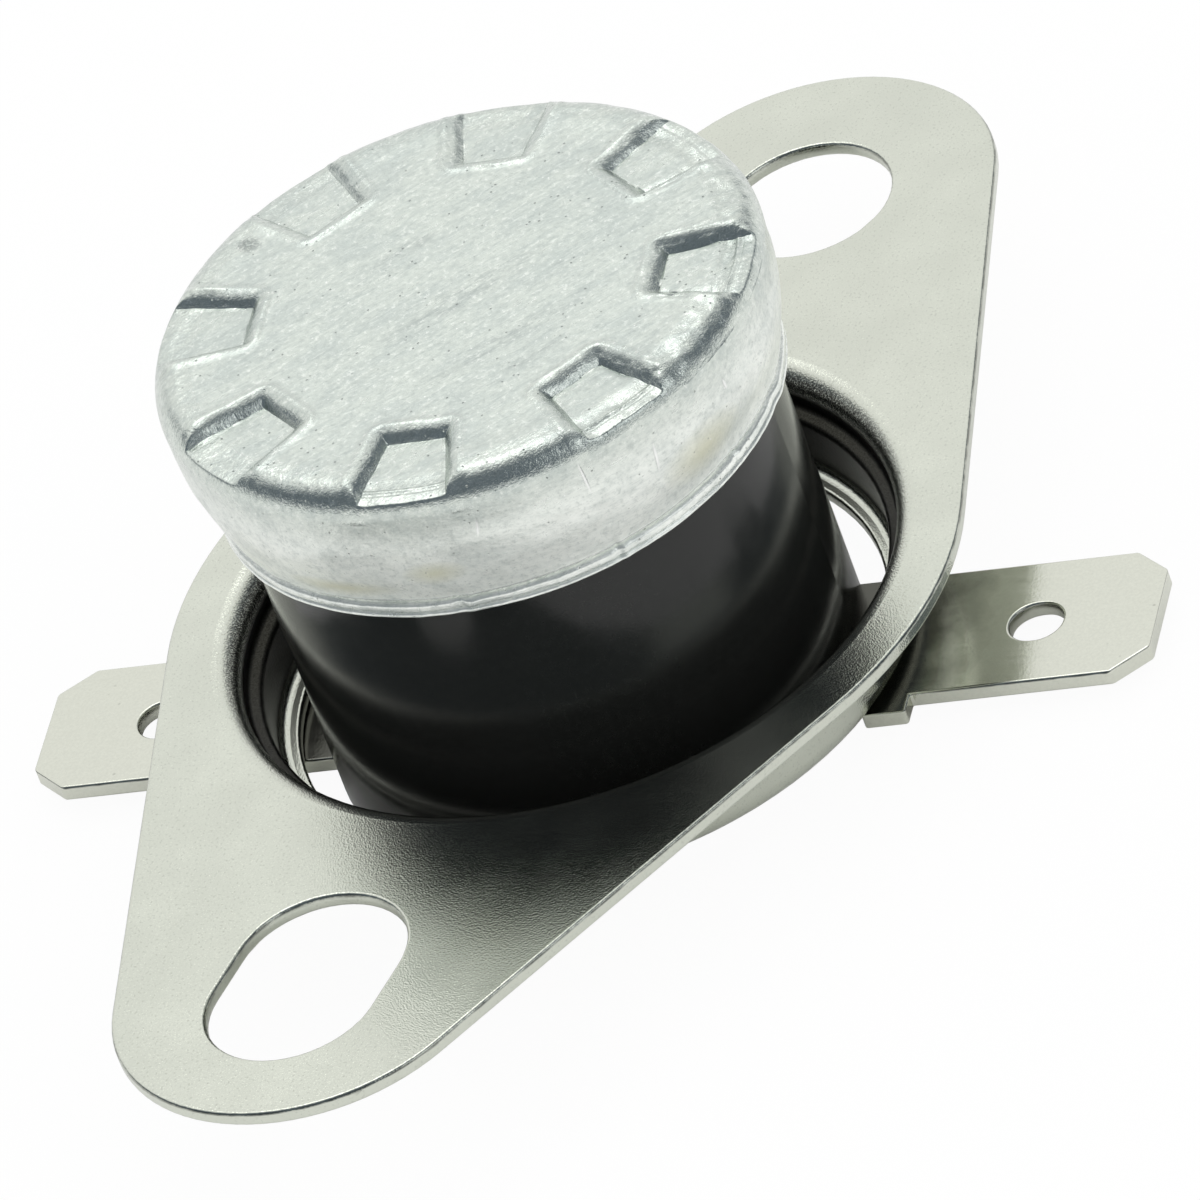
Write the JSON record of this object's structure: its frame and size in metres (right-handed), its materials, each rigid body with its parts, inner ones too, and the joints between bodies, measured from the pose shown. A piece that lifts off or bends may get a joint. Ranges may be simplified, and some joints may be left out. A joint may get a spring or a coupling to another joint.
{
  "type": "snap disc thermostat",
  "caption": "Snap-disc oven thermostat: dimpled aluminium cap over a black base, loose flanged bracket with hole and slot, blade terminals.",
  "frame": {"origin": "centre of the base's underside", "axes": "+Z along the axis towards the sensing face, X along the bracket's two fixing holes, with the round hole on +X"},
  "size_m": [0.0408, 0.0302, 0.0137],
  "materials": {
    "aluminium_cap": "drawn, fine scratches",
    "phenolic_base": "glossy moulded",
    "phenolic_guide": "matt moulded",
    "ceramic_pin": "matt ceramic",
    "bimetal": "rolled",
    "nickel_bracket": "matt nickel plate",
    "nickel_blade": "bright nickel plate",
    "nickel_rivet": "bright nickel plate",
    "spring_bronze": "rolled",
    "brass_strip": "rolled",
    "silver_contact": "turned"
  },
  "bodies": {
    "housing": {"cap": "aluminium_cap", "bimetal_disc": "bimetal", "pin_guide": "phenolic_guide", "base": "phenolic_base", "terminal_right": "nickel_blade", "terminal_left": "nickel_blade", "rivet_right": "nickel_rivet", "rivet_left": "nickel_rivet", "fixed_strip": "brass_strip", "fixed_contact": "silver_contact"},
    "pin": {"push_pin": "ceramic_pin"},
    "leaf": {"contact_leaf": "spring_bronze", "moving_contact": "silver_contact"},
    "bracket": {"bracket": "nickel_bracket"}
  },
  "joints": [
    {"name": "bracket_slide", "type": "slide", "parent": "housing", "child": "bracket", "axis": [0, 0, 1], "range_m": [0, 0.0092]},
    {"name": "pin_slide", "type": "slide", "parent": "housing", "child": "pin", "axis": [0, 0, -1], "range_m": [0, 0.00035], "stiffness_N_per_m": 50, "springref_m": -0.0005, "deforming": ["bimetal_disc"]},
    {"name": "leaf_bend", "type": "hinge", "parent": "housing", "child": "leaf", "pos_m": [0.00093, -0.00348, 0.0044], "axis": [-0.9659, -0.2588, 0], "range_deg": [0, 5.6], "deforming": ["contact_leaf"]}
  ],
  "couplings": [
    {"joint": "leaf_bend", "follows": "pin_slide", "rad_per_m": 277.78}
  ]
}
